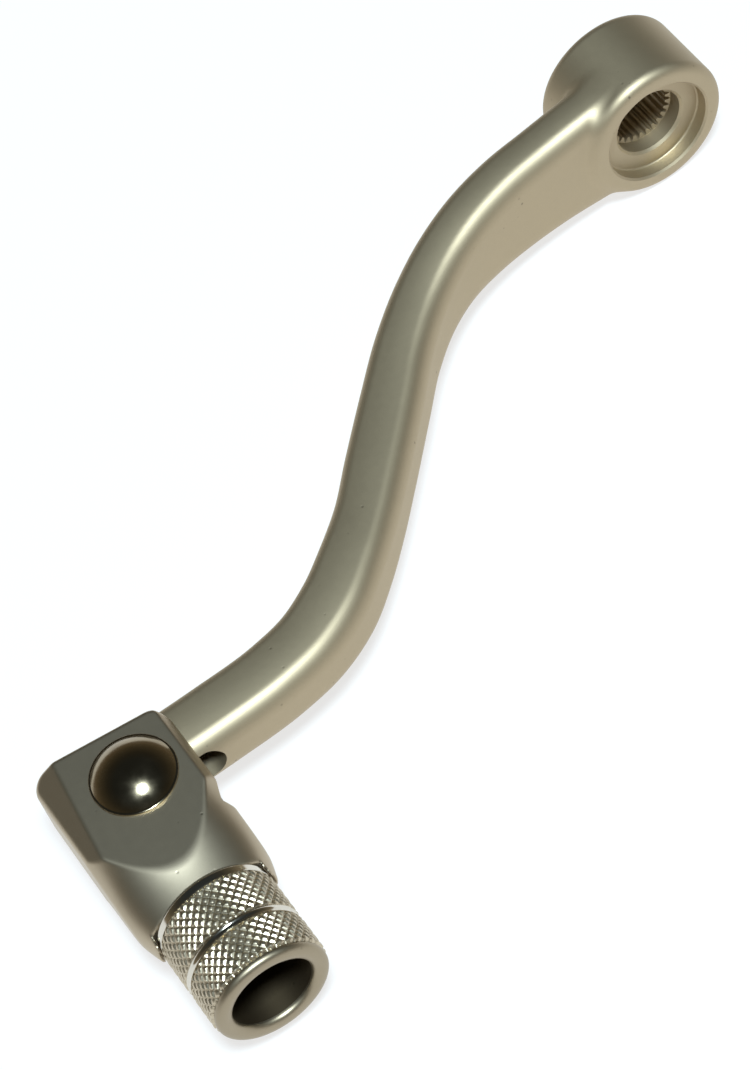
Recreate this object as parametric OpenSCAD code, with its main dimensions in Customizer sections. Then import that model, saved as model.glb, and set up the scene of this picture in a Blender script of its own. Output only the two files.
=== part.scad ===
// Folding-tip gear shift lever, left-hand side of a motorcycle. Millimetres, +Z up.
// Origin: centre of the splined hub, on the shift-shaft axis (the shaft runs along Y).
// -Y is outboard (the peg points that way), -X is forward (the arm runs that way).
// The tip folds about the vertical rivet: the peg swings from -Y towards +X.

/* [Hub] */
hub_d = 27;            // [25:0.5:31] outside of the round hub
hub_len = 17;          // [14:0.5:21] hub length along the shaft
hub_round = 1.2;       // [0.4:0.1:1.8] edge chamfer of the hub
recess_d = 20;         // [16:0.5:22] face recess for the retaining washer
recess_depth = 2.7;
spline_root_d = 12.7;  // bottom of the spline grooves
spline_crest_d = 11.3; // tops of the teeth
lead_d = 12.9;         // smooth lead-in bore at each end of the teeth
spline_teeth = 28;     // [20:1:36]
lead_in = 3.2;         // smooth bore length at each end of the teeth

/* [Arm] */
arm_edge = 2.8;        // [0.8:0.1:3.5] edge radius of the arm section
arm_end_x = -123;      // where the arm reaches its constant height in front of the eye
arm_end_h = 5.65;      // half height of the arm at the eye
eye_h = 5.5;           // half height of the eye itself

/* [Pivot] */
pivot = [-138.7, -63.1]; // rivet axis
eye_wall = 1.3;        // metal of the eye round the spring pocket
eye_back = 10.0;       // square inboard corner of the eye, measured from the rivet
notch_top = 3.6;       // notch for the end of the spring, in the outboard face of the arm
notch_bottom = -2.8;
notch_depth = 4.3;     // measured in from the outboard face
notch_end = 14.3;      // rear end of the notch, from the rivet
run_gap = 0.05;        // radial running clearance, eye on bushing
bush_r = 4.8;          // [4.4:0.1:6] spacer tube that the eye turns on
shank_r = 3.5;         // [3:0.1:4] rivet shank
dome_r = 7.4;
dome_h = 3.5;
dome_rim = 0.7;        // short upright rim under the dome
tail_r = 5.6;
tail_h = 2.2;
washer_r = 7.2;
washer_t = 1;
fold_max = 45;         // [30:5:60] largest fold angle of the tip, degrees

/* [Spring] */
wire_r = 0.75;         // [0.5:0.05:1]
coil_air = 0.7;        // clearance inside and outside the coil
coil_bottom = -4.3;
coil_turns = 3.25;
leg_angle = -40;       // where the straight leg leaves the coil
leg_end_x = 13.8;      // end of the leg, from the rivet

/* [Tip body] */
axis_off = -2.0;       // peg axis sits this far forward of the rivet
body_w = 24.4;         // [24:0.2:30] width across the side faces
body_h = 16.6;         // [15:0.2:20] height over the two ears
flat_rear = 10.8;       // flat top, from the peg axis to its edge on the arm's side
flat_front = 8.5;       // the same towards the front, level with the rivet; this edge runs askew
cham_h = 1.6;          // height lost at the rear side chamfer
cham_run = 1.6;        // width of the front chamfer for each millimetre of height
body_back = 10.3;      // back face on the peg axis, measured from the rivet
back_slant = 6.7;      // the back face runs slightly askew
nose_at = 18.1;        // where the nose starts on the middle of the flat top, from the rivet
cheek_end = -25.5;     // outboard end of the two cheeks, from the rivet
seat = -23.3;          // face the sleeve is pressed against, from the rivet
ear_gap = 0.25;        // clearance between eye and ear, each side
slot_gap = 0.4;        // clearance around the eye
corner_r = 3;

/* [Peg] */
sleeve_d = 20.8;
sleeve_len = 17.8;     // [15:0.2:24]
sleeve_cham = 0.9;
groove_at = 10.05;     // groove, from the rear of the sleeve
groove_w = 0.9;
groove_depth = 0.8;
sleeve_wall = 1.7;     // thickness of the sleeve
spigot_wall = 1.5;     // thickness of the body's tube that carries the sleeve
hollow_len = 16.5;
collar_t = 1.5;
collar_round = 1.15;     // radius of both edges of its lip
spigot_in = 0.3;       // how far the spigot reaches into the collar

/* [Hidden] */
coil_r = bush_r + coil_air + wire_r;
coil_pitch = 2*wire_r + 0.12;
coil_z1 = coil_bottom + coil_pitch*coil_turns;
pocket_r = coil_r + wire_r + coil_air;   // spring pocket in the eye, open to the underside
pocket_top = coil_z1 + wire_r + 0.5;
eye_r = pocket_r + eye_wall;             // rounded end of the arm around the rivet
tang_hole_r = wire_r + 0.3;
spigot_d = sleeve_d - 2*sleeve_wall;     // the body's tube
hollow_d = spigot_d - 2*spigot_wall;     // hole seen in the end of the peg
collar_d = sleeve_d - 0.6;
ear_z = arm_end_h + ear_gap;
peg_x = pivot[0] + axis_off;
seat_y = pivot[1] + seat;
collar_y = seat_y - sleeve_len;   // seam between sleeve and end collar
end_y = collar_y - collar_t;

// Arm stations: [x, y, half width, half height] of the centre line, hub to eye.
arm_st = [
    [   0,  -2.7, 4.5, 12.0],
    [ -11,  -2.8, 4.5, 11.2],
    [ -20,  -3.1, 4.5, 10.3],
    [ -28,  -3.7, 4.65, 9.7],
    [ -35.9, -5.2, 4.75, 8.8],
    [ -43.8, -8.0, 4.8, 7.6],
    [ -50.7, -11.9, 4.9, 6.7],
    [ -58.7, -18.2, 5.1, 6.1],
    [ -66.8, -26.4, 5.4, 5.8],
    [ -75.8, -35.8, 5.5, 5.8],
    [ -82.6, -42.9, 5.4, 5.9],
    [ -88.6, -48.2, 5.6, 6.1],
    [ -95.6, -53.4, 5.8, 6.1],
    [-102.8, -56.7, 5.8, 5.9],
    [-110, -58.1, 5.8, 5.8],
    [arm_end_x, -58.6, 5.9, arm_end_h],
    [-131, -58.6, 5.9, arm_end_h]];

function unit(v) = v / norm(v);
// Catmull-Rom point between stations i and i+1.
function st(i) = arm_st[max(0, min(len(arm_st) - 1, i))];
function cr(i, t) = let (p0 = st(i-1), p1 = st(i), p2 = st(i+1), p3 = st(i+2))
    0.5 * (2*p1 + (p2 - p0)*t + (2*p0 - 5*p1 + 4*p2 - p3)*t*t + (3*p1 - p0 - 3*p2 + p3)*t*t*t);
sub = 4;
arm_path = concat([for (i = [0:len(arm_st)-2], k = [0:sub-1]) cr(i, k/sub)],
                  [arm_st[len(arm_st)-1]]);

// Rounded rectangle, half sizes a x b, edge radius r, four corners of nc+1 points.
nc = 5;
function rrect(a, b, r) = [for (q = [0:3], k = [0:nc])
    let (w = q*90 + k*90/nc, cx = (q == 0 || q == 3) ? a - r : r - a, cz = q < 2 ? b - r : r - b)
    [cx + r*cos(w), cz + r*sin(w)]];

// Skin through rings of equal length, closed at both ends.
module skin(rings) {
    n = len(rings[0]);
    m = len(rings);
    polyhedron(points = [for (r = rings) each r],
        faces = concat([[for (k = [0:n-1]) k]],
            [for (i = [0:m-2], k = [0:n-1]) let (a = i*n + k, b = i*n + (k+1)%n)
                each [[a, a+n, b], [b, a+n, b+n]]],
            [[for (k = [n-1:-1:0]) (m-1)*n + k]]), convexity = 8);
}

function arm_ring(i) = let (
        p = arm_path[i],
        d = unit([for (c = [0, 1]) arm_path[min(i+1, len(arm_path)-1)][c] - arm_path[max(i-1, 0)][c]]),
        nx = [d[1], -d[0]])                    // across the arm, towards +Y for a -X heading
    [for (q = rrect(p[2], p[3], arm_edge)) [p[0] - nx[0]*q[0], p[1] - nx[1]*q[0], q[1]]];

module arm_sweep() skin([for (i = [0:len(arm_path)-1]) arm_ring(i)]);

// Cylinder along -Y from y0, with chamfered ends.
module ycyl(r, y0, len, c0 = 0, c1 = 0)
    translate([0, y0, 0]) rotate([90, 0, 0])
        rotate_extrude($fn = 128)
            polygon([[0, 0], [r - c0, 0], [r, c0], [r, len - c1], [r - c1, len], [0, len]]);

module spline_cut() {
    n = spline_teeth;
    ro = spline_root_d/2;
    ri = spline_crest_d/2;
    w = 360/n;
    translate([0, hub_len/2 + 1, 0]) rotate([90, 0, 0]) linear_extrude(height = hub_len + 2)
        polygon([for (i = [0:n-1], k = [0:3])
            let (a = i*w + [-0.34, -0.16, 0.16, 0.34][k]*w, r = (k == 0 || k == 3) ? ri : ro)
            [r*cos(a), r*sin(a)]]);
}

module at_pivot() translate([pivot[0], pivot[1], 0]) children();

// Round end of the arm: rounded outboard and in front, square towards the inboard corner.
module eye_blank() at_pivot() {
    cylinder(r = eye_r, h = 2*eye_h, center = true, $fn = 128);
    translate([0.1 - eye_r, 0, -eye_h]) cube([eye_r + 9, eye_back, 2*eye_h]);
}

module notch_shape() {
    h = (notch_top - notch_bottom)/2;
    polygon(concat([[5.2, notch_bottom]],
        [for (k = [0:16]) let (w = k*11.25 - 90) [notch_end - h + h*cos(w), notch_bottom + h + h*sin(w)]],
        [[5.2, notch_top]]));
}

module lever_arm() color("#b9b4aa") difference() {
    union() {
        ycyl(hub_d/2, hub_len/2, hub_len, hub_round, hub_round);
        arm_sweep();
        eye_blank();
    }
    // face recess, teeth and the smooth lead-in bores
    ycyl(recess_d/2, -hub_len/2 + recess_depth, recess_depth + 6);
    spline_cut();
    ycyl(lead_d/2, -hub_len/2 + recess_depth + lead_in, lead_in + 1);
    ycyl(lead_d/2, hub_len/2 + 6, lead_in + 6);
    at_pivot() {
        translate([0, 0, -20]) cylinder(r = bush_r + run_gap, h = 40, $fn = 128);
        translate([0, 0, -20]) cylinder(r = pocket_r, h = 20 + pocket_top, $fn = 128);
        // spring-leg notch with a round rear end, open to the outboard side
        translate([0, arm_out + notch_depth, 0]) rotate([90, 0, 0])
            linear_extrude(height = 12 + arm_out + notch_depth) notch_shape();
    }
}

// Half width and half height of the nose's ellipse at a distance d outboard of the rivet.
function nose_w(d) = body_w/2 + 0.68 + 1.7*exp((5.2 - d)/2.5) - 2*pow(max(d - 14, 0)/12, 2);
function nose_h(d) = 2.3 + (body_h/2 - 2.3)*(nose_at + 3.3)/(d + 3.3);
nose_d = [for (i = [0:12]) 5.2 + i*(0.4 - cheek_end - 5.2)/12];
nose_n = 96;
module nose_cut() skin([for (d = nose_d)
    [for (k = [0:nose_n-1]) let (w = k*360/nose_n)
        [peg_x + nose_w(d)*cos(w), pivot[1] - d, nose_h(d)*sin(w)]]]);

// Side-to-side section of the body, chamfered on the arm's side.
module body_section() {
    a = body_w/2;
    b = body_h/2;
    polygon([[-a, b], [flat_rear, b], [a, b - cham_h], [a, cham_h - b], [flat_rear, -b], [-a, -b]]);
}

// The chamfers on the front side, which run askew like the back face.
module front_chamfers() {
    b = body_h/2;
    k = cham_run;
    polygon([[40, b + 2], [2*k - flat_front, b + 2], [-flat_front - (b - 0.5)*k, 0.5],
        [-flat_front - (b - 0.5)*k, -0.5], [2*k - flat_front, -b - 2], [40, -b - 2]]);
}

// Plan of the body: back corners rounded, reaching forward to the cheeks.
module body_plan() {
    a = body_w/2;
    r = corner_r;
    function cy(x) = (body_back*cos(back_slant) - r - x*sin(back_slant))/cos(back_slant);
    polygon(concat(
        [[a, cheek_end], [-a, cheek_end]],
        [for (k = [0:12]) let (w = 180 - k*(90 + back_slant)/12) [r - a + r*cos(w), cy(r - a) + r*sin(w)]],
        [for (k = [0:12]) let (w = (90 - back_slant)*(1 - k/12)) [a - r + r*cos(w), cy(a - r) + r*sin(w)]]));
}

// The block with its nose, cut back so that the sleeve is let in between two cheeks.
module tip_block() difference() {
    intersection() {
        translate([peg_x, pivot[1] + body_back + 4, 0]) rotate([90, 0, 0])
            linear_extrude(height = body_back + 6 - cheek_end) body_section();
        translate([peg_x, pivot[1], 0]) rotate([0, 0, -back_slant]) translate([0, 40, 0]) rotate([90, 0, 0])
            linear_extrude(height = 90) front_chamfers();
        translate([peg_x, pivot[1], -20]) linear_extrude(height = 40) body_plan();
        union() {
            nose_cut();
            translate([peg_x - 20, pivot[1] - nose_d[0] - 0.5, -20]) cube([40, 30, 40]);
        }
    }
    translate([peg_x, 0, 0]) ycyl(sleeve_d/2 + 0.15, seat_y, 20);
}

// Slot between the ears, seen from above: straight wall in front, round floor, the face that meets
// the arm's outboard side at full fold, and open to the back and to the rear side.
module slot_plan() {
    r = eye_r + slot_gap;
    w0 = acos((0.1 - r)/r);
    w1 = 360 - fold_max + asin(stop_y/r);
    polygon(concat([[0.1 - r, 40]], [for (k = [0:40]) let (w = w0 + (w1 - w0)*k/40) [r*cos(w), r*sin(w)]],
        [[60*cos(fold_max) + stop_y*sin(fold_max), -60*sin(fold_max) + stop_y*cos(fold_max)], [60, 40]]));
}

module tip_body() color("#bdb8ae") difference() {
    union() {
        tip_block();
        translate([peg_x, 0, 0]) ycyl(spigot_d/2, seat_y, seat_y - collar_y + spigot_in);
    }
    translate([peg_x, 0, 0]) ycyl(hollow_d/2, end_y + hollow_len, hollow_len + 5);
    at_pivot() {
        cylinder(r = shank_r, h = 40, center = true, $fn = 128);
        translate([0, 0, -ear_z]) linear_extrude(height = 2*ear_z) slot_plan();
        // blind hole for the spring tang in the lower ear
        translate([tang_top[0], tang_top[1], -ear_z - 1.8]) cylinder(r = tang_hole_r, h = 3, $fn = 48);
    }
}
arm_out = st(99)[1] - st(99)[2] - pivot[1];   // outboard face of the arm, from the rivet
stop_y = arm_out - 0.35;
knee_y = arm_out + notch_depth - wire_r - 0.42;   // the leg lies in the notch from here on
leg_straight = (knee_y - coil_r*sin(leg_angle))/cos(leg_angle);
tang_angle = leg_angle - 360*coil_turns;

module knurled_sleeve() color("#d4d4d6") translate([peg_x, seat_y, 0]) rotate([90, 0, 0]) {
    r = sleeve_d/2;
    g = groove_at;
    rotate_extrude($fn = 128) polygon([
        [spigot_d/2, 0], [r - sleeve_cham, 0], [r, sleeve_cham], [r, g],
        [r - groove_depth, g + 0.1], [r - groove_depth, g + groove_w - 0.1], [r, g + groove_w],
        [r, sleeve_len - 0.2], [r - 0.2, sleeve_len], [spigot_d/2, sleeve_len]]);
}

// Rounded end collar: a half-round lip closing the sleeve.
module end_collar() color("#bdb8ae") translate([peg_x, collar_y, 0]) rotate([90, 0, 0]) {
    r = collar_d/2;
    c = collar_round;
    rotate_extrude($fn = 128) polygon(concat(
        [[spigot_d/2, 0], [r, 0]],
        [for (w = [0:15:90]) [r - c + c*cos(w), collar_t - c + c*sin(w)]],
        [for (w = [15:15:75]) [hollow_d/2 + c - c*sin(w), collar_t - c + c*cos(w)]],
        [[hollow_d/2, spigot_in], [spigot_d/2, spigot_in]]));
}

// Dome-head rivet: head on the flat top, shank, formed tail under the washer.
module pivot_rivet() color("#c9c7c2") at_pivot() rotate_extrude($fn = 128) {
    sr = (dome_r*dome_r + (dome_h - dome_rim)*(dome_h - dome_rim)) / (2*(dome_h - dome_rim));
    w1 = asin(dome_r/sr);
    zt = body_h/2;
    zb = -body_h/2 - washer_t;
    polygon(concat(
        [[0, zb - tail_h], [tail_r - 1.4, zb - tail_h], [tail_r - 0.5, zb - tail_h + 0.6], [tail_r, zb - 0.5],
         [tail_r - 0.2, zb], [shank_r, zb], [shank_r, zt], [dome_r, zt]],
        [for (k = [0:10]) let (w = w1*(1 - k/10)) [sr*sin(w), zt + dome_h - sr + sr*cos(w)]]));
}

module rivet_washer() color("#b7b7b9") at_pivot() translate([0, 0, -body_h/2 - washer_t]) difference() {
    cylinder(r = washer_r, h = washer_t, $fn = 128);
    translate([0, 0, -1]) cylinder(r = shank_r, h = washer_t + 2, $fn = 128);
}

// Spacer tube between the ears: the ears are riveted against it, the eye turns on it.
module pivot_bushing() color("#a8895a") at_pivot() difference() {
    cylinder(r = bush_r, h = 2*ear_z, center = true, $fn = 128);
    cylinder(r = shank_r, h = 2*ear_z + 2, center = true, $fn = 128);
}

// One wire: tang up out of the lower ear, coil, straight leg, bent end in the arm's notch.
bend_r = 1.2;
leg_bend = leg_angle + 90;
coil_steps = 72;
wire_sides = 10;
slope = atan2(coil_pitch, 360*coil_r*PI/180);
function tangent(w) = [-sin(w), cos(w), 0];
function on_coil(w, z) = [coil_r*cos(w), coil_r*sin(w), z];
tang_top = on_coil(tang_angle, coil_bottom) - bend_r*tangent(tang_angle) - [0, 0, bend_r];
leg_start = on_coil(leg_angle, coil_z1);
leg_knee = leg_start + leg_straight*tangent(leg_angle);
leg_tip = [leg_end_x, leg_knee[1] + 0.15, coil_z1 - 0.2];
wire_path = concat(
    [[[tang_top[0], tang_top[1], -ear_z - 1.5], [0, 0, 1], tang_angle], [tang_top, [0, 0, 1], tang_angle]],
    [for (k = [1:3]) let (b = k*22.5) [tang_top + bend_r*((1 - cos(b))*tangent(tang_angle) + [0, 0, sin(b)]),
        unit(sin(b)*tangent(tang_angle) + [0, 0, cos(b)]), tang_angle]],
    [for (i = [0:coil_steps]) let (w = tang_angle + 360*coil_turns*i/coil_steps)
        [on_coil(w, coil_bottom + coil_pitch*coil_turns*i/coil_steps),
         unit(tangent(w) + [0, 0, tan(slope)]), w]],
    [for (k = [-1:1]) let (a = leg_angle + 90 - (k + 1)*leg_bend/2)
        [leg_knee + 0.9*k*[cos(a), sin(a), 0], [cos(a), sin(a), 0], a - 90]],
    [[leg_tip, [1, 0, 0], -90]]);
module torsion_spring() color("#6f7378") at_pivot()
    skin([for (p = wire_path) let (n = [cos(p[2]), sin(p[2]), 0], b = cross(p[1], n))
        [for (k = [0:wire_sides-1]) let (q = k*360/wire_sides) p[0] + wire_r*(cos(q)*n + sin(q)*b)]]);

lever_arm();
tip_body();
knurled_sleeve();
end_collar();
pivot_rivet();
pivot_bushing();
torsion_spring();
rivet_washer();
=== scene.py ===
import bpy, math
import numpy as np
from mathutils import Matrix, Vector

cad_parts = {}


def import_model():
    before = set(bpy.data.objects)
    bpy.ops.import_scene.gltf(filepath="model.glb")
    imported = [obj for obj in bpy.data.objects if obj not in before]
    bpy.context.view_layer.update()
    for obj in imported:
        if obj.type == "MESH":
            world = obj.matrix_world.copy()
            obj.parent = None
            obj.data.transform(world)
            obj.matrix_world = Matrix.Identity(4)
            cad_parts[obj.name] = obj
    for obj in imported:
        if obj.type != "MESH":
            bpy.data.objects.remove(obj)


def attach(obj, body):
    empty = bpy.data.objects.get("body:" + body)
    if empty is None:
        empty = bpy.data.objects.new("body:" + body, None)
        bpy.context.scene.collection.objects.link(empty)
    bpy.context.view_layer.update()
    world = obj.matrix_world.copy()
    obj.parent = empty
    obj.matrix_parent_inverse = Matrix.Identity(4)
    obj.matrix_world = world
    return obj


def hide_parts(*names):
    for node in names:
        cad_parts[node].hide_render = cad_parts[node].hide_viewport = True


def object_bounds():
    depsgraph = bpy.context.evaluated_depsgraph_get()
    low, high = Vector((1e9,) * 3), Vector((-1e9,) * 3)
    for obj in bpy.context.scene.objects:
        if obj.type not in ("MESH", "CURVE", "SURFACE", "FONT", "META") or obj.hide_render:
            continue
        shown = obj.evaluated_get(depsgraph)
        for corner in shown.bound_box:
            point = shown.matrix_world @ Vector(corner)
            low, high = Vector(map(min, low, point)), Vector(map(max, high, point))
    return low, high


# Folding-tip gear shift lever: the visual model over the CAD frame.
# Shapes are worked out in millimetres, in the CAD's frame, and scaled to metres by raw_object().
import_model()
cad_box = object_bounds()
MM = 0.001

# ------------------------------------------------------------ driving dimensions, as in part.scad
HUB_R, HUB_HALF, HUB_ROUND = 13.5, 8.5, 1.9   # edge radius, over the 1.2 chamfer
RECESS_R, RECESS_Y = 10.0, -5.8            # face recess and its floor
ROOT_R, CREST_R, LEAD_R, TEETH, LEAD_IN = 6.35, 5.65, 6.45, 28, 3.2
PIVOT = (-138.7, -63.1)
EYE_R, EYE_BACK, EYE_H = 9.0, 10.0, 5.5
POCKET_R, POCKET_TOP, RUN_GAP = 7.7, 2.215, 0.05
NOTCH_TOP, NOTCH_BOTTOM, NOTCH_START, NOTCH_END, NOTCH_DEPTH = 3.6, -2.8, 5.2, 14.3, 4.3
BUSH_R, SHANK_R, EAR_Z, BODY_H = 4.8, 3.5, 5.9, 8.3
DOME_R, DOME_H, TAIL_R, TAIL_H, WASHER_R, WASHER_T = 7.4, 3.5, 5.6, 2.2, 7.2, 1.0
PEG_X = PIVOT[0] - 2.0
BODY_A, BODY_BACK, SLANT, CORNER = 12.2, 10.3, math.radians(6.7), 3.0
FLAT_REAR, FLAT_FRONT, CHAM, CHAM_RUN = 10.8, 8.5, 1.6, 1.6
CHEEK, SEAT, SLOT_GAP, FOLD = 25.5, 23.3, 0.4, math.radians(45)
SLEEVE_R, SLEEVE_LEN, SPIGOT_R, HOLLOW_R, HOLLOW_LEN = 10.4, 17.8, 8.7, 7.2, 16.5
GROOVE_AT, GROOVE_W = 10.05, 0.9
COLLAR_R, COLLAR_T, SPIGOT_IN = 10.1, 1.5, 0.3
SEAT_Y = PIVOT[1] - SEAT
COLLAR_Y = SEAT_Y - SLEEVE_LEN
END_Y = COLLAR_Y - COLLAR_T
WIRE_R, COIL_R, COIL_BOTTOM, COIL_PITCH, COIL_TURNS = 0.75, 6.25, -4.3, 1.62, 3.25
LEG_ANGLE, LEG_STRAIGHT, LEG_END = math.radians(-40), 7.5, 13.8

# Stations of the arm's centre line from hub to eye: x, y, half width, half height.
ARM = [(0, -2.7, 4.5, 12.0), (-11, -2.8, 4.5, 11.2), (-20, -3.1, 4.5, 10.3),
       (-28, -3.7, 4.65, 9.7), (-35.9, -5.2, 4.75, 8.8), (-43.8, -8.0, 4.8, 7.6),
       (-50.7, -11.9, 4.9, 6.7), (-58.7, -18.2, 5.1, 6.1), (-66.8, -26.4, 5.4, 5.8),
       (-75.8, -35.8, 5.5, 5.8), (-82.6, -42.9, 5.4, 5.9), (-88.6, -48.2, 5.6, 6.1),
       (-95.6, -53.4, 5.8, 6.1), (-102.8, -56.7, 5.8, 5.9), (-110, -58.1, 5.8, 5.8),
       (-123, -58.6, 5.9, 5.65), (-131, -58.6, 5.9, 5.65)]
ARM_OUT = ARM[-1][1] - ARM[-1][2] - PIVOT[1]     # outboard face of the arm, from the rivet
NOSE_AT = 18.1                             # where the nose starts on the middle of the flat top

# ------------------------------------------------------------ details that only the visual model has
ARM_CROWN = 0.5                            # fall of the arm's top and underside towards their edges
HUB_BLEND = 1.6                            # fillet between the arm and the hub
EYE_EDGE, NOSE_EDGE, CHEEK_EDGE, SEAT_EDGE = 0.5, 0.28, 0.6, 0.45      # softness of these edges
LAND = 2.1                                 # polished rear land of the sleeve, where the knurl starts
GROOVE_HALF, GROOVE_FALL = 0.72, 0.42      # polished groove of the sleeve: half width, depth under its lips
RIDGES, RIDGE_STEPS, KNURL_DEPTH = 38, 12, 0.3
VALLEY_SHARE = 0.5                         # share of the knurl's pitch taken up by its valleys


# ------------------------------------------------------------ materials
class Shader:
    """A Principled material with a few short-hand ways to add nodes."""

    def __init__(self, name, color, metallic, rough):
        self.mat = bpy.data.materials.new(name)
        self.mat.use_nodes = True
        self.tree = self.mat.node_tree
        self.bsdf = self.tree.nodes["Principled BSDF"]
        self.bsdf.inputs["Base Color"].default_value = (*color, 1)
        self.bsdf.inputs["Metallic"].default_value = metallic
        self.bsdf.inputs["Roughness"].default_value = rough
        self.coord = self.tree.nodes.new("ShaderNodeTexCoord").outputs["Object"]
        self.normal = None

    def link(self, a, b):
        self.tree.links.new(a, b)

    def noise(self, scale, detail=2.0, rough=0.5, stretch=None):
        vector = self.coord
        if stretch:
            mapping = self.tree.nodes.new("ShaderNodeMapping")
            mapping.inputs["Scale"].default_value = stretch
            self.link(vector, mapping.inputs["Vector"])
            vector = mapping.outputs["Vector"]
        n = self.tree.nodes.new("ShaderNodeTexNoise")
        n.inputs["Scale"].default_value = scale
        n.inputs["Detail"].default_value = detail
        n.inputs["Roughness"].default_value = rough
        self.link(vector, n.inputs["Vector"])
        return n.outputs["Fac"]

    def spots(self, scale, size):
        """1 inside small scattered round spots, 0 elsewhere."""
        v = self.tree.nodes.new("ShaderNodeTexVoronoi")
        v.inputs["Scale"].default_value = scale
        self.link(self.coord, v.inputs["Vector"])
        return self.ranged(v.outputs["Distance"], size, size * 0.4, 0, 1)

    def ranged(self, value, a, b, lo, hi):
        m = self.tree.nodes.new("ShaderNodeMapRange")
        for name, number in (("From Min", a), ("From Max", b), ("To Min", lo), ("To Max", hi)):
            m.inputs[name].default_value = number
        self.link(value, m.inputs["Value"])
        return m.outputs["Result"]

    def product(self, a, b):
        m = self.tree.nodes.new("ShaderNodeMath")
        m.operation = "MULTIPLY"
        self.link(a, m.inputs[0])
        self.link(b, m.inputs[1])
        return m.outputs["Value"]

    def tint(self, fac, color):
        """Mixes what feeds the base colour with another colour, by fac."""
        m = self.tree.nodes.new("ShaderNodeMix")
        m.data_type = "RGBA"
        base = self.bsdf.inputs["Base Color"]
        if base.links:
            self.link(base.links[0].from_socket, m.inputs[6])
        else:
            m.inputs[6].default_value = tuple(base.default_value)
        m.inputs[7].default_value = (*color, 1)
        self.link(fac, m.inputs[0])
        self.link(m.outputs[2], base)

    def roughness(self, fac, lo, hi, a=0.3, b=0.7):
        self.link(self.ranged(fac, a, b, lo, hi), self.bsdf.inputs["Roughness"])

    def bump(self, height, distance, strength=1.0):
        b = self.tree.nodes.new("ShaderNodeBump")
        b.inputs["Distance"].default_value = distance
        b.inputs["Strength"].default_value = strength
        self.link(height, b.inputs["Height"])
        if self.normal:
            self.link(self.normal, b.inputs["Normal"])
        self.normal = b.outputs["Normal"]
        self.link(self.normal, self.bsdf.inputs["Normal"])


def blasted_aluminium(name, color, dark, rough=(0.545, 0.56)):
    """Bead-blasted forging: fine grain, soft mottling, a few small pits."""
    s = Shader(name, color, 1.0, 0.42)
    cloud, grain = s.noise(110, 3), s.noise(3800, 2, 0.6)
    s.tint(s.ranged(cloud, 0.35, 0.7, 0.0, 0.05), dark)
    s.tint(s.ranged(grain, 0.35, 0.75, 0.0, 0.12), dark)
    pits = s.product(s.spots(420, 0.13), s.ranged(s.noise(150), 0.55, 0.62, 0, 1))
    s.tint(s.ranged(pits, 0, 1, 0, 0.6), tuple(0.3 * c for c in color))
    s.roughness(s.noise(900, 2), *rough)
    s.bump(grain, 0.00001, 0.15)
    s.bump(pits, -0.00005, 0.5)
    return s.mat


def chrome_plate(name, color, rough):
    s = Shader(name, color, 1.0, rough)
    s.roughness(s.noise(500, 3), rough * 0.85, rough * 1.2)
    s.tint(s.ranged(s.noise(900, 2), 0.5, 0.72, 0, 0.25), tuple(0.7 * c for c in color))
    return s.mat


def polished_steel():
    s = Shader("polished_steel", (0.32, 0.265, 0.18), 1.0, 0.13)
    s.roughness(s.noise(300, 3), 0.1, 0.2)
    s.tint(s.ranged(s.noise(240, 3), 0.5, 0.75, 0, 0.35), (0.22, 0.18, 0.12))
    s.bump(s.noise(220, 2), 0.00006, 0.25)
    s.bump(s.noise(2600, 2), 0.000006, 0.35)
    return s.mat


def turned_metal(name, color, dark, rough, rings):
    """Turned or drawn metal: fine tool marks that run round the piece."""
    s = Shader(name, color, 1.0, rough)
    marks = s.noise(1.0, 3, 0.6, stretch=rings)
    s.tint(s.ranged(s.noise(180, 3), 0.4, 0.7, 0, 0.4), dark)
    s.roughness(marks, rough * 0.8, rough * 1.3)
    s.bump(marks, 0.00002, 0.5)
    return s.mat


# ------------------------------------------------------------ mesh tools
def raw_object(name, points, faces):
    me = bpy.data.meshes.new(name)
    faces = faces.tolist() if isinstance(faces, np.ndarray) else faces
    me.from_pydata((np.asarray(points, float) * MM).tolist(), [], faces)
    ob = bpy.data.objects.new(name, me)
    bpy.context.scene.collection.objects.link(ob)
    return ob


def finish_object(ob, material, body, node, slot, sharp=35):
    me = ob.data
    me.materials.clear()
    me.materials.append(material)
    me.polygons.foreach_set("use_smooth", np.ones(len(me.polygons), bool))
    me.set_sharp_from_angle(angle=math.radians(sharp))
    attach(ob, body)
    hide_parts(node)
    return ob


def mesh_object(name, points, faces, *finish):
    ob = raw_object(name, points, faces)
    ob.data.update()
    return finish_object(ob, *finish)


def second_material(ob, material, chosen):
    """Gives the faces that chosen(centres in mm, normals) picks a second material."""
    me = ob.data
    me.materials.append(material)
    n = len(me.polygons)
    centre, normal, index = np.empty(3 * n), np.empty(3 * n), np.zeros(n, np.int32)
    me.polygons.foreach_get("center", centre)
    me.polygons.foreach_get("normal", normal)
    index[chosen(centre.reshape(-1, 3) / MM, normal.reshape(-1, 3))] = 1
    me.polygons.foreach_set("material_index", index)
    me.update()


def curve_at(t, xs, ys):
    """Smooth curve through (xs, ys), at t."""
    xs, ys = np.asarray(xs, float), np.asarray(ys, float)
    m = np.gradient(ys, xs)
    i = np.clip(np.searchsorted(xs, t) - 1, 0, len(xs) - 2)
    h = xs[i + 1] - xs[i]
    u = (t - xs[i]) / h
    return ((1 + 2 * u) * (1 - u) ** 2 * ys[i] + u * (1 - u) ** 2 * h * m[i]
            + u * u * (3 - 2 * u) * ys[i + 1] + u * u * (u - 1) * h * m[i + 1])


def smin(a, b, k):
    h = np.maximum(k - np.abs(a - b), 0) / k
    return np.minimum(a, b) - h * h * k / 4


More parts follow.
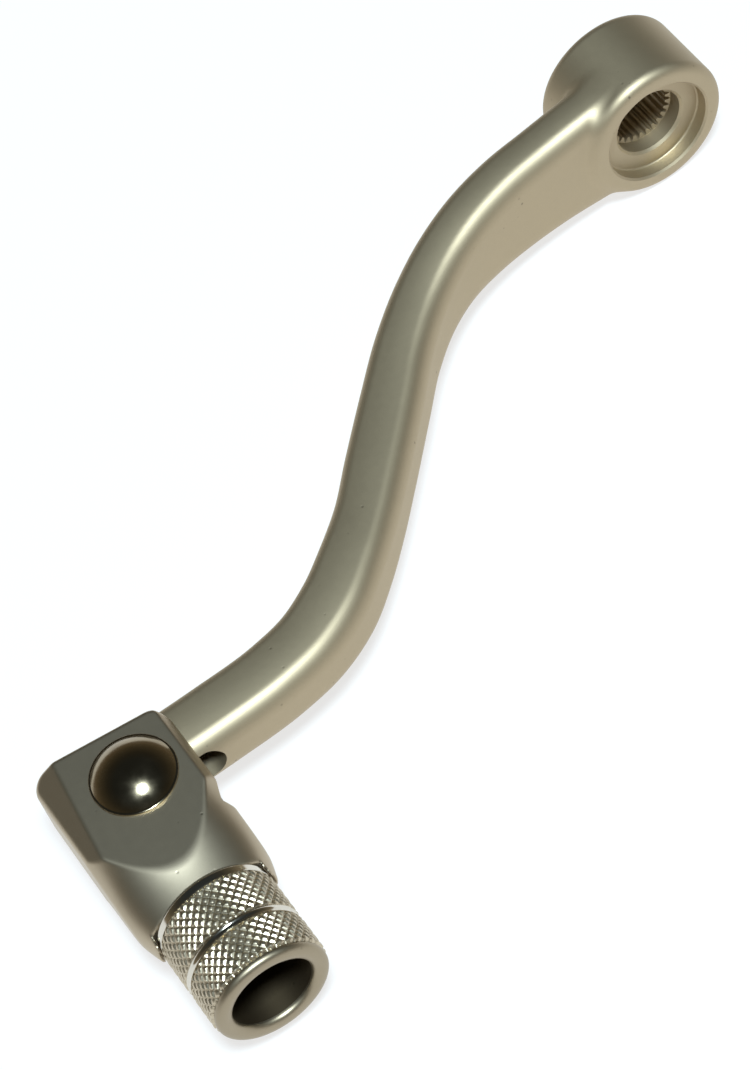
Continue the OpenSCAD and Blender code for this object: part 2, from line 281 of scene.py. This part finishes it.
def smax(a, b, k):
    return -smin(-a, -b, k)


def rounded(r, *q):
    """Distance to where every q is negative, with the edges rounded by r."""
    q = [c + r for c in q]
    out = sum(np.maximum(c, 0) ** 2 for c in q) ** 0.5
    top = q[0]
    for c in q[1:]:
        top = np.maximum(top, c)
    return out + np.minimum(top, 0) - r


def surface(f, lo, hi, step):
    """Closed quad mesh of f(x, y, z) = 0 in a box, each point moved onto the surface."""
    axes = [np.arange(lo[i] - 2 * step, hi[i] + 3 * step, step) for i in range(3)]
    v = f(*np.meshgrid(*axes, indexing="ij", sparse=True)).astype(np.float32)
    inside = v < 0
    n = np.array(v.shape) - 1
    count = sum(inside[i:n[0] + i, j:n[1] + j, k:n[2] + k].astype(np.uint8)
                for i in (0, 1) for j in (0, 1) for k in (0, 1))
    cells = np.argwhere((count > 0) & (count < 8))
    index = np.full(n, -1, np.int64)
    index[tuple(cells.T)] = np.arange(len(cells))
    total, hits, quads = np.zeros((len(cells), 3)), np.zeros(len(cells)), []
    for a in range(3):
        o1, o2 = (a + 1) % 3, (a + 2) % 3
        for p in (0, 1):
            for q in (0, 1):
                start = cells.T.copy()
                start[o1] += p
                start[o2] += q
                end = start.copy()
                end[a] += 1
                va, vb = v[tuple(start)], v[tuple(end)]
                cross = (va < 0) != (vb < 0)
                at = start.T.astype(float)
                at[:, a] += np.where(cross, va / np.where(cross, va - vb, 1), 0)
                total += at * cross[:, None]
                hits += cross
        low = inside[tuple(slice(0, -1) if i == a else slice(None) for i in range(3))]
        high = inside[tuple(slice(1, None) if i == a else slice(None) for i in range(3))]
        edges = np.argwhere(low != high)
        around = []
        for d1, d2 in ((0, 0), (1, 0), (1, 1), (0, 1)):
            e = edges.copy()
            e[:, o1] -= d1
            e[:, o2] -= d2
            around.append(index[tuple(e.T)])
        quad = np.stack(around, 1)
        flip = ~low[tuple(edges.T)]
        quad[flip] = quad[flip][:, ::-1]
        quads.append(quad)
    p = total / hits[:, None] * step + np.array([ax[0] for ax in axes])
    e = 0.1 * step
    for _ in range(4):
        x, y, z = p.T
        d = f(x, y, z)
        g = np.stack([f(x + e, y, z) - f(x - e, y, z), f(x, y + e, z) - f(x, y - e, z),
                      f(x, y, z + e) - f(x, y, z - e)], 1) / (2 * e)
        p = p - np.clip(d / np.maximum((g * g).sum(1), 0.3), -step / 2, step / 2)[:, None] * g
    return p, np.concatenate(quads)


def fillet(points, n=4):
    """A polyline of (x, y) or (x, y, radius): corners with a radius become arcs of n + 1 points."""
    out = []
    for i, p in enumerate(points):
        if len(p) < 3 or i in (0, len(points) - 1):
            out.append(tuple(p[:2]))
            continue
        c, a, b = (np.array(q[:2], float) for q in (p, points[i - 1], points[i + 1]))
        u, w = (a - c) / np.linalg.norm(a - c), (b - c) / np.linalg.norm(b - c)
        turn = math.acos(max(-1, min(1, float(u @ w))))
        cut = p[2] / math.tan(turn / 2)
        centre = c + (u + w) / np.linalg.norm(u + w) * p[2] / math.sin(turn / 2)
        for k in range(n + 1):
            v = (c + u * cut - centre) * (1 - k / n) + (c + w * cut - centre) * k / n
            out.append(tuple(centre + v / np.linalg.norm(v) * p[2]))
    return out


def lathe(profile, axis, centre, n=192, loop=False):
    """Turns (radius, height) points about an axis through centre. Height runs along +axis.
    A loop is a ring with a bore; otherwise the profile starts and ends on the axis."""
    prof = np.array(profile, float)
    w = np.arange(n) * 2 * math.pi / n
    ring = prof if loop else prof[1:-1]
    m = len(ring)
    c, s = np.cos(w), np.sin(w)
    across, up, along = np.outer(ring[:, 0], c), np.outer(ring[:, 0], s), np.repeat(ring[:, 1:], n, 1)
    pts = np.stack([across, up, along] if axis == "Z" else [up, along, across], -1).reshape(-1, 3)
    faces = []
    for i in range(m if loop else m - 1):
        a, b = i * n, (i + 1) % m * n
        faces += [(a + k, b + k, b + (k + 1) % n, a + (k + 1) % n) for k in range(n)]
    if not loop:
        tip = [prof[0, 1], prof[-1, 1]]
        pts = np.vstack([pts] + [[0, 0, t] if axis == "Z" else [0, t, 0] for t in tip])
        faces += [(m * n, k, (k + 1) % n) for k in range(n)]
        faces += [(m * n + 1, (m - 1) * n + (k + 1) % n, (m - 1) * n + k) for k in range(n)]
    faces = [tuple(reversed(q)) for q in faces]
    area = sum(prof[i, 0] * prof[(i + 1) % len(prof), 1] - prof[(i + 1) % len(prof), 0] * prof[i, 1]
               for i in range(len(prof)))
    if area < 0:
        faces = [tuple(reversed(q)) for q in faces]
    return pts + np.array(centre, float), faces


def prism(outline, z0, z1, centre=(0, 0, 0), along="Z"):
    """A straight solid on an outline in the XY plane, or in XZ when it runs along Y."""
    n = len(outline)
    o = np.array(outline, float)
    low, high = np.full((n, 1), z0), np.full((n, 1), z1)
    if along == "Z":
        pts = np.vstack([np.hstack([o, low]), np.hstack([o, high])])
    else:
        pts = np.vstack([np.hstack([o[:, :1], low, o[:, 1:]]), np.hstack([o[:, :1], high, o[:, 1:]])])
    faces = [tuple(range(n - 1, -1, -1)), tuple(range(n, 2 * n))]
    faces += [(k, (k + 1) % n, n + (k + 1) % n, n + k) for k in range(n)]
    area = sum(o[i, 0] * o[(i + 1) % n, 1] - o[(i + 1) % n, 0] * o[i, 1] for i in range(n))
    if (area < 0) != (along == "Y"):
        faces = [tuple(reversed(q)) for q in faces]
    return pts + np.array(centre, float), faces


def carve(ob, cutters):
    """Subtracts each (points, faces) solid from ob."""
    for i, (pts, faces) in enumerate(cutters):
        tool = raw_object("tool", pts, faces)
        m = ob.modifiers.new("cut", "BOOLEAN")
        m.operation, m.solver, m.object = "DIFFERENCE", "MANIFOLD", tool
        bpy.context.view_layer.update()
        done = bpy.data.meshes.new_from_object(ob.evaluated_get(bpy.context.evaluated_depsgraph_get()))
        if not len(done.polygons):
            raise RuntimeError("cut %d left nothing of %s" % (i, ob.name))
        ob.modifiers.clear()
        ob.data = done
        bpy.data.objects.remove(tool)
    return ob


# ------------------------------------------------------------ lever arm
def arm_field(step=0.4):
    """Table over (x, y): signed distance across the arm, its half width and height, reach past its ends."""
    st = np.array(ARM)
    s = np.r_[0, np.cumsum(np.hypot(*np.diff(st[:, :2], axis=0).T))]
    t = np.linspace(0, s[-1], 420)
    line = np.stack([curve_at(t, s, st[:, k]) for k in range(4)], 1)
    d = np.gradient(line[:, :2], axis=0)
    d /= np.hypot(*d.T)[:, None]
    xs, ys = np.arange(-152, 18, step), np.arange(-78, 14, step)
    gx, gy = np.meshgrid(xs, ys, indexing="ij")
    best, near = np.full(gx.shape, 1e9), np.zeros(gx.shape, int)
    for i, (px, py) in enumerate(line[:, :2]):
        r = (gx - px) ** 2 + (gy - py) ** 2
        closer = r < best
        best[closer], near[closer] = r[closer], i
    rx, ry = gx - line[near, 0], gy - line[near, 1]
    ahead = rx * d[near, 0] + ry * d[near, 1]
    side = rx * d[near, 1] - ry * d[near, 0]
    where = t[near] + ahead
    past = np.where(near == 0, -ahead, np.where(near == len(line) - 1, ahead, -5.0))
    layers = np.stack([side, np.interp(where, t, line[:, 2]), np.interp(where, t, line[:, 3]), past])
    return xs[0], ys[0], step, layers


X0, Y0, FIELD_STEP, FIELD = arm_field()


def arm_at(x, y):
    u = np.clip((x - X0) / FIELD_STEP, 0, FIELD.shape[1] - 1.001)
    v = np.clip((y - Y0) / FIELD_STEP, 0, FIELD.shape[2] - 1.001)
    i, j = np.floor(u).astype(int), np.floor(v).astype(int)
    u, v = u - i, v - j
    return (FIELD[:, i, j] * (1 - u) * (1 - v) + FIELD[:, i + 1, j] * u * (1 - v)
            + FIELD[:, i, j + 1] * (1 - u) * v + FIELD[:, i + 1, j + 1] * u * v)


def lever_distance(x, y, z):
    side, a, b, past = arm_at(x, y)
    # crowned top and underside; the outboard edges (negative side) are rounder than the inboard ones
    edge = np.clip(2.75 - side * 0.14, 2.0, 3.5)
    crown = ARM_CROWN * np.minimum(side / a, 1.0) ** 2
    arm = rounded(edge, np.abs(side) - a, np.abs(z) - b + crown, past)
    hub = rounded(HUB_ROUND, np.sqrt(x * x + z * z) - HUB_R, np.abs(y) - HUB_HALF)
    d = smin(arm, hub, HUB_BLEND)
    px, py = x - PIVOT[0], y - PIVOT[1]
    eye = np.minimum(np.hypot(px, py) - EYE_R,
                     np.maximum(np.abs(px - 0.1) - EYE_R, np.abs(py - EYE_BACK / 2) - EYE_BACK / 2))
    d = np.minimum(d, smax(eye, np.abs(z) - EYE_H, EYE_EDGE))
    return np.maximum(d, np.maximum(np.abs(z) - HUB_R, x - HUB_R))


def lever_arm(material, dark):
    pts, quads = surface(lever_distance, (-148.5, -73, -13.6), (13.6, 8.6, 13.6), 0.33)
    ob = raw_object("lever_arm_forging", pts, quads)
    h = HUB_HALF
    bore = fillet([(0, -20), (RECESS_R + 12, -20), (RECESS_R + 12, -h - 0.15), (RECESS_R + 0.5, -h - 0.15),
                   (RECESS_R, -h + 0.35), (RECESS_R, RECESS_Y, 0.35), (LEAD_R + 0.45, RECESS_Y),
                   (LEAD_R, RECESS_Y + 0.45), (LEAD_R, RECESS_Y + LEAD_IN),
                   (CREST_R, RECESS_Y + LEAD_IN + 0.4), (CREST_R, h - LEAD_IN - 0.4),
                   (LEAD_R, h - LEAD_IN), (LEAD_R, h - 0.45),
                   (LEAD_R + 0.6, h + 0.15), (LEAD_R + 0.6, 20), (0, 20)])
    w = 2 * math.pi / TEETH
    mid, half = (ROOT_R + CREST_R) / 2 - 0.06, (ROOT_R - CREST_R) / 2 + 0.06
    wave = lambda t: max(-1, min(1, 1.5 * math.cos(t)))        # flat crests and roots, sloping flanks
    teeth = [((mid + half * wave(TEETH * q)) * math.cos(q), (mid + half * wave(TEETH * q)) * math.sin(q))
             for q in (k * w / 12 for k in range(12 * TEETH))]
    pv = (*PIVOT, 0)
    tall, floor_y = (NOTCH_TOP - NOTCH_BOTTOM) / 2, ARM_OUT + NOTCH_DEPTH
    end = [(NOTCH_END - tall + tall * math.cos(q), NOTCH_BOTTOM + tall + tall * math.sin(q))
           for q in np.linspace(-math.pi / 2, math.pi / 2, 25)]
    notch = [(NOTCH_START, NOTCH_BOTTOM)] + end + [(NOTCH_START, NOTCH_TOP)]
    carve(ob, [lathe(bore, "Y", (0, 0, 0)),
               prism(teeth, RECESS_Y + LEAD_IN - 0.3, h - LEAD_IN + 0.3, along="Y"),
               lathe([(0, -20), (BUSH_R + RUN_GAP, -20), (BUSH_R + RUN_GAP, 20), (0, 20)], "Z", pv, 96),
               lathe([(0, -20), (POCKET_R, -20), (POCKET_R, POCKET_TOP), (0, POCKET_TOP)], "Z", pv, 96),
               prism(notch, -12, floor_y, pv, along="Y")])
    finish_object(ob, material, "lever", "lever_arm", "forged_aluminium")

    def painted_shade_faces(c, n):
        """The spring pocket, and the floor of the notch: these faces get the dark material as painted shade.
        """
        x, y = c[:, 0] - PIVOT[0], c[:, 1] - PIVOT[1]
        pocket = np.hypot(x, y) < POCKET_R + 0.05
        floor_face = (np.abs(y - floor_y) < 0.05) & (n[:, 1] < -0.9)
        return pocket | (floor_face & (x > NOTCH_START - 0.2) & (x < NOTCH_END))

    second_material(ob, dark, painted_shade_faces)


# ------------------------------------------------------------ tip
def tip_distance(x, y, z):
    across, out = x - PEG_X, PIVOT[1] - y
    ax, az = np.abs(across), np.abs(z)
    back = (across * math.sin(SLANT) - out * math.cos(SLANT)) - BODY_BACK * math.cos(SLANT)
    plan = smax(rounded(CORNER, ax - BODY_A, back), out - CHEEK, CHEEK_EDGE)
    run = BODY_A - FLAT_REAR
    rear = ((across - FLAT_REAR) * CHAM + (az - BODY_H) * run) / math.hypot(run, CHAM)
    skew = across * math.cos(SLANT) + out * math.sin(SLANT)     # across the body, askew like its back face
    front = ((-skew - FLAT_FRONT) + (az - BODY_H) * CHAM_RUN) / math.hypot(1, CHAM_RUN)
    section = smax(az - BODY_H, smax(rear, front, 0.3), 0.25)
    body = smax(plan, section, 0.8)
    # the nose is an ellipse of half width nw and half height nh, as in part.scad
    at = np.clip(out, 5.2, CHEEK + 0.4)
    nw = BODY_A + 0.68 + 1.7 * np.exp((5.2 - at) / 2.5) - 2 * (np.maximum(at - 14, 0) / 12) ** 2
    nh = 2.3 + (BODY_H - 2.3) * (NOSE_AT + 3.3) / (at + 3.3)
    rho = np.sqrt((across / nw) ** 2 + (z / nh) ** 2) + 1e-6
    body = smax(body, rho * (rho - 1) / np.sqrt((across / nw ** 2) ** 2 + (z / nh ** 2) ** 2 + 1e-9),
                NOSE_EDGE)
    ring = np.hypot(across, z)
    body = smax(body, -np.maximum(ring - SLEEVE_R - 0.15, SEAT - out), SEAT_EDGE)
    tube = np.maximum(ring - SPIGOT_R, np.maximum(SEAT - 0.08 - out, out + COLLAR_Y - PIVOT[1] - SPIGOT_IN))
    return np.minimum(body, tube)


def slot_outline():
    r = EYE_R + SLOT_GAP
    stop = ARM_OUT - 0.35
    w0, w1 = math.acos((0.1 - r) / r), 2 * math.pi - FOLD + math.asin(stop / r)
    arc = [(r * math.cos(w), r * math.sin(w)) for w in np.linspace(w0, w1, 49)]
    c, s = math.cos(FOLD), math.sin(FOLD)
    return [(0.1 - r, 40)] + arc + [(60 * c + stop * s, -60 * s + stop * c), (60, 40)]


def tip_body(material, dark):
    pts, quads = surface(tip_distance, (PEG_X - BODY_A, END_Y, -BODY_H),
                         (PEG_X + BODY_A, PIVOT[1] + BODY_BACK + 1.5, BODY_H), 0.22)
    ob = raw_object("tip_forging", pts, quads)
    hollow = fillet([(0, END_Y - 3), (HOLLOW_R, END_Y - 3), (HOLLOW_R, END_Y + HOLLOW_LEN - 0.1, 0.8),
                     (0, END_Y + HOLLOW_LEN + 0.9)])
    pv = (*PIVOT, 0)
    carve(ob, [prism(slot_outline(), -EAR_Z, EAR_Z, pv),
               lathe([(0, -20), (SHANK_R, -20), (SHANK_R, 20), (0, 20)], "Z", pv, 96),
               lathe(hollow, "Y", (PEG_X, 0, 0), 144)])
    finish_object(ob, material, "tip", "tip_body", "tip_aluminium")
    # the hollow inside the sleeve gets the dark material: painted shade
    second_material(ob, dark, lambda c, _: np.hypot(c[:, 0] - PEG_X, c[:, 2]) < HOLLOW_R + 0.05)


def knurled_sleeve(material, polished):
    """Steel sleeve: polished land, then two bands of diamond knurl with a groove between them."""
    r, n = SLEEVE_R, RIDGES * RIDGE_STEPS
    pitch = 2 * math.pi * r / RIDGES
    # rows along the sleeve: distance from its rear, radius, 1 where the knurl cuts in
    rows = [(0.0, SPIGOT_R + 0.03, 0), (0.0, r - 0.95, 0), (0.08, r - 0.84, 0), (0.8, r - 0.2, 0),
            (0.92, r - 0.13, 0), (1.05, r - 0.12, 0), (LAND - 0.16, r - 0.12, 0), (LAND - 0.04, r - 0.22, 0)]

    def band(a, b):
        steps = max(2, round((b - a) / (pitch / RIDGE_STEPS)))
        out = []
        for k in range(steps + 1):
            t = a + (b - a) * k / steps
            rim = min(1.0, min(t - a, b - t) / 0.25)
            out.append((t, r - 0.3 * (1 - rim) ** 1.5, 1))
        return out

    middle = GROOVE_AT + GROOVE_W / 2
    rows += band(LAND, middle - GROOVE_HALF)
    rows += [(middle - (GROOVE_HALF - 0.08) * math.cos(q), r - 0.14 - GROOVE_FALL * math.sin(q), 0)
             for q in np.linspace(0, math.pi, 13)]
    rows += band(middle + GROOVE_HALF, SLEEVE_LEN - 0.25)
    rows += [(SLEEVE_LEN - 0.1, r - 0.5, 0), (SLEEVE_LEN, r - 0.7, 0), (SLEEVE_LEN, SPIGOT_R + 0.03, 0)]
    rows = np.array(rows)
    w = np.arange(n) * 2 * math.pi / n
    t, base, cut = rows[:, :1], rows[:, 1:2], rows[:, 2:]
    turn, walk = w[None] * RIDGES / (2 * math.pi), t / pitch
    valley = lambda q: 1 - np.clip(np.abs(2 * (q - np.floor(q)) - 1) / VALLEY_SHARE, 0, 1)
    knurl = np.maximum(valley(turn + walk), valley(turn - walk)) ** 0.9
    radius = base - cut * KNURL_DEPTH * knurl
    m = len(rows)
    pts = np.stack([PEG_X + radius * np.sin(w)[None], SEAT_Y - np.repeat(t, n, 1), radius * np.cos(w)[None]],
                   -1).reshape(-1, 3)
    a = (np.arange(m)[:, None] * n + np.arange(n)[None])
    b = np.roll(a, -1, 0)
    faces = np.stack([a, b, np.roll(b, -1, 1), np.roll(a, -1, 1)], -1).reshape(-1, 4)
    ob = mesh_object("knurled_sleeve_steel", pts, faces, material,
                     "tip", "knurled_sleeve", "chrome_plate", 28)
    second_material(ob, polished, lambda c, _: (SEAT_Y - c[:, 1] < LAND - 0.02)
                    | (np.abs(SEAT_Y - c[:, 1] - middle) < GROOVE_HALF - 0.04))


def end_collar(material):
    mid, half = (COLLAR_R + HOLLOW_R) / 2, (COLLAR_R - HOLLOW_R) / 2
    outline = [(SPIGOT_R + 0.02, -0.02), (COLLAR_R - 0.1, -0.02)]
    outline += [(mid + half * math.cos(q), -SPIGOT_IN - (COLLAR_T - SPIGOT_IN) * max(0, math.sin(q)) ** 0.8)
                for q in np.linspace(0, math.pi, 33)]
    outline += [(SPIGOT_R + 0.02, -SPIGOT_IN)]
    pts, faces = lathe(outline, "Y", (PEG_X, COLLAR_Y, 0), 192, loop=True)
    mesh_object("end_collar_ring", pts, faces, material, "tip", "end_collar", "collar_aluminium")


def pivot_rivet(material):
    lip, chord = 0.55, DOME_R - 0.38
    rise = DOME_H - lip - 0.05
    big = (chord ** 2 + rise ** 2) / (2 * rise)
    w = math.asin(chord / big)
    top = [(big * math.sin(q), BODY_H + DOME_H - big + big * math.cos(q)) for q in np.linspace(0, w, 40)]
    low = -BODY_H - WASHER_T
    rest = [(DOME_R, BODY_H + lip, 0.22), (DOME_R, BODY_H + 0.02, 0.1), (SHANK_R - 0.02, BODY_H + 0.02),
            (SHANK_R - 0.02, low - 0.01), (TAIL_R, low - 0.01), (TAIL_R, low - 0.7, 0.4),
            (TAIL_R - 0.9, low - TAIL_H, 1.0), (0, low - TAIL_H)]
    pts, faces = lathe(top + fillet([top[-1]] + rest, 6)[1:], "Z", (*PIVOT, 0), 192)
    mesh_object("pivot_rivet_steel", pts, faces, material, "tip", "pivot_rivet", "rivet_steel")


def ring(name, r0, r1, z0, z1, soft, material, body, node, slot):
    outline = fillet([(r0, z0 + soft), (r0, z1, soft), (r1, z1, soft), (r1, z0, soft), (r0 + soft, z0)])
    pts, faces = lathe(outline, "Z", (*PIVOT, 0), 144, loop=True)
    mesh_object(name, pts, faces, material, body, node, slot)


def torsion_spring(material):
    """One wire: tang out of the lower ear, coil, straight leg, short bent end in the arm's notch."""
    tangent = lambda w: np.array([-math.sin(w), math.cos(w), 0])
    on_coil = lambda w, z: np.array([COIL_R * math.cos(w), COIL_R * math.sin(w), z])
    w0 = LEG_ANGLE - 2 * math.pi * COIL_TURNS
    bend = 1.2
    top = COIL_BOTTOM + COIL_PITCH * COIL_TURNS
    foot = on_coil(w0, COIL_BOTTOM) - bend * tangent(w0) - np.array([0, 0, bend])
    path = [foot + np.array([0, 0, -EAR_Z + 0.05 - foot[2]]), foot]
    path += [foot + bend * ((1 - math.cos(b)) * tangent(w0) + np.array([0, 0, math.sin(b)]))
             for b in np.linspace(0.25, 1.4, 5)]
    path += [on_coil(w0 + 2 * math.pi * COIL_TURNS * k / 160,
                     COIL_BOTTOM + COIL_PITCH * COIL_TURNS * k / 160) for k in range(161)]
    knee = on_coil(LEG_ANGLE, top) + LEG_STRAIGHT * tangent(LEG_ANGLE)
    turn = LEG_ANGLE + math.pi / 2
    path += [knee + 0.9 * k * np.array([math.cos(q), math.sin(q), 0])
             for k, q in ((-1, turn), (-0.3, turn * 0.7), (0.3, turn * 0.3), (1, 0.0))]
    path += [np.array([LEG_END, knee[1] + 0.15, top - 0.1])]
    p = np.array(path)
    d = np.gradient(p, axis=0)
    d /= np.linalg.norm(d, axis=1)[:, None]
    side, n, pts = np.array([math.cos(w0), math.sin(w0), 0]), 20, []
    for i in range(len(p)):
        side = side - (side @ d[i]) * d[i]
        side /= np.linalg.norm(side)
        up = np.cross(d[i], side)
        rim = [WIRE_R * (math.cos(q) * side + math.sin(q) * up) for q in np.arange(n) * 2 * math.pi / n]
        pts += [p[i] + v for v in rim]
    m = len(p)
    faces = [(i * n + k, i * n + (k + 1) % n, (i + 1) * n + (k + 1) % n, (i + 1) * n + k)
             for i in range(m - 1) for k in range(n)]
    faces += [tuple(range(n - 1, -1, -1)), tuple((m - 1) * n + k for k in range(n))]
    mesh_object("torsion_spring_wire", np.array(pts) + np.array([*PIVOT, 0]), faces, material,
                "lever", "torsion_spring", "spring_steel")


# ------------------------------------------------------------ the pieces, each with its material
# near-black aluminium for the spring pocket, the notch floor and the tip's hollow: painted shade in those
# recesses
painted_shade_bore = blasted_aluminium("bore_painted_shade", (0.1, 0.075, 0.045), (0.06, 0.045, 0.028))
lever_arm(blasted_aluminium("blasted_aluminium", (0.47, 0.385, 0.26), (0.36, 0.295, 0.2)), painted_shade_bore)
tip_body(blasted_aluminium("blasted_tip", (0.48, 0.405, 0.295), (0.37, 0.31, 0.225), (0.41, 0.42)),
         painted_shade_bore)
knurled_sleeve(chrome_plate("knurl", (0.56, 0.485, 0.36), 0.38),
               chrome_plate("polished_land", (0.66, 0.62, 0.54), 0.12))
# the collar's aluminium is darker than the tip's: painted shade
end_collar(blasted_aluminium("blasted_collar_painted_shade", (0.36, 0.3, 0.21), (0.28, 0.23, 0.16), (0.42, 0.43)))
pivot_rivet(polished_steel())
ring("pivot_bushing_brass", SHANK_R, BUSH_R, -EAR_Z + 0.01, EAR_Z - 0.01, 0.3,
     turned_metal("brass", (0.72, 0.53, 0.27), (0.5, 0.36, 0.18), 0.28, (2, 2, 900)),
     "tip", "pivot_bushing", "bushing_brass")
ring("rivet_washer_steel", SHANK_R, WASHER_R, -BODY_H - WASHER_T, -BODY_H - 0.02, 0.15,
     turned_metal("zinc_plate", (0.6, 0.6, 0.6), (0.42, 0.42, 0.44), 0.32, (500, 500, 500)),
     "tip", "rivet_washer", "washer_steel")
torsion_spring(turned_metal("spring_wire", (0.3, 0.29, 0.28), (0.16, 0.15, 0.14), 0.36, (900, 900, 900)))


# ------------------------------------------------------------ floor, light and camera
def floor():
    z = cad_box[0][2] - 0.0001
    me = bpy.data.meshes.new("floor")
    me.from_pydata([(-3, -3, z), (3, -3, z), (3, 3, z), (-3, 3, z)], [], [(0, 1, 2, 3)])
    ob = bpy.data.objects.new("floor", me)
    bpy.context.scene.collection.objects.link(ob)
    s = Shader("floor", (0.22, 0.22, 0.22), 0.0, 0.9)
    s.bsdf.inputs["Emission Color"].default_value = (1, 1, 1, 1)
    s.bsdf.inputs["Emission Strength"].default_value = 0.74
    s.bsdf.inputs["Specular IOR Level"].default_value = 0.1
    me.materials.append(s.mat)


def world():
    """A dark studio room whose walls get paler and warmer towards the horizon."""
    w = bpy.data.worlds.new("studio")
    bpy.context.scene.world = w
    w.use_nodes = True
    tree = w.node_tree
    bg = tree.nodes["Background"]
    coord = tree.nodes.new("ShaderNodeTexCoord")
    split = tree.nodes.new("ShaderNodeSeparateXYZ")
    ramp = tree.nodes.new("ShaderNodeValToRGB")
    stops = ramp.color_ramp
    stops.elements[0].position, stops.elements[0].color = 0.0, (0.24, 0.195, 0.13, 1)
    stops.elements[1].position, stops.elements[1].color = 0.75, (0.03, 0.034, 0.034, 1)
    stops.elements.new(0.3).color = (0.1, 0.085, 0.055, 1)
    stops.elements.new(0.55).color = (0.045, 0.042, 0.032, 1)
    tree.links.new(coord.outputs["Generated"], split.inputs[0])
    tree.links.new(split.outputs["Z"], ramp.inputs["Fac"])
    tree.links.new(ramp.outputs["Color"], bg.inputs["Color"])
    bg.inputs["Strength"].default_value = 1.0


def softbox(name, azimuth, elevation, distance, size, power, color):
    light = bpy.data.lights.new(name, "AREA")
    light.shape, light.size, light.energy, light.color = "DISK", size, power, color
    ob = bpy.data.objects.new(name, light)
    bpy.context.scene.collection.objects.link(ob)
    a, e = math.radians(azimuth), math.radians(elevation)
    to = Vector((-math.sin(a) * math.cos(e), -math.cos(a) * math.cos(e), math.sin(e)))
    target = Vector((-0.07, -0.04, 0))
    ob.location = target + to * distance
    ob.rotation_mode = "QUATERNION"
    ob.rotation_quaternion = to.to_track_quat("Z", "Y")


def camera():
    # angles in radians, shifts and distance in mm, focal length as a share of the picture's height
    az, el, roll, shift_x, shift_y, dist, focal = -0.25, 0.95, -0.39, 44.25, 74.63, 691.71, 4000 / 1070
    back = Vector((math.sin(az) * math.cos(el), -math.cos(az) * math.cos(el), math.sin(el)))
    right = Vector((0, 0, 1)).cross(back).normalized()
    up = back.cross(right)
    right, up = (math.cos(roll) * right + math.sin(roll) * up, -math.sin(roll) * right + math.cos(roll) * up)
    data = bpy.data.cameras.new("camera")
    cam = bpy.data.objects.new("camera", data)
    bpy.context.scene.collection.objects.link(cam)
    place = (dist * back - shift_x * right - shift_y * up) * MM
    cam.matrix_world = Matrix.Translation(place) @ Matrix((right, up, back)).transposed().to_4x4()
    data.sensor_width = 36
    data.lens = focal * 36
    data.clip_start, data.clip_end = 0.01, 10
    bpy.context.scene.camera = cam


camera()
floor()
world()
softbox("key", azimuth=5, elevation=68, distance=2.0, size=0.42, power=66, color=(0.74, 0.9, 1.0))
bpy.context.scene.view_settings.view_transform = "Standard"
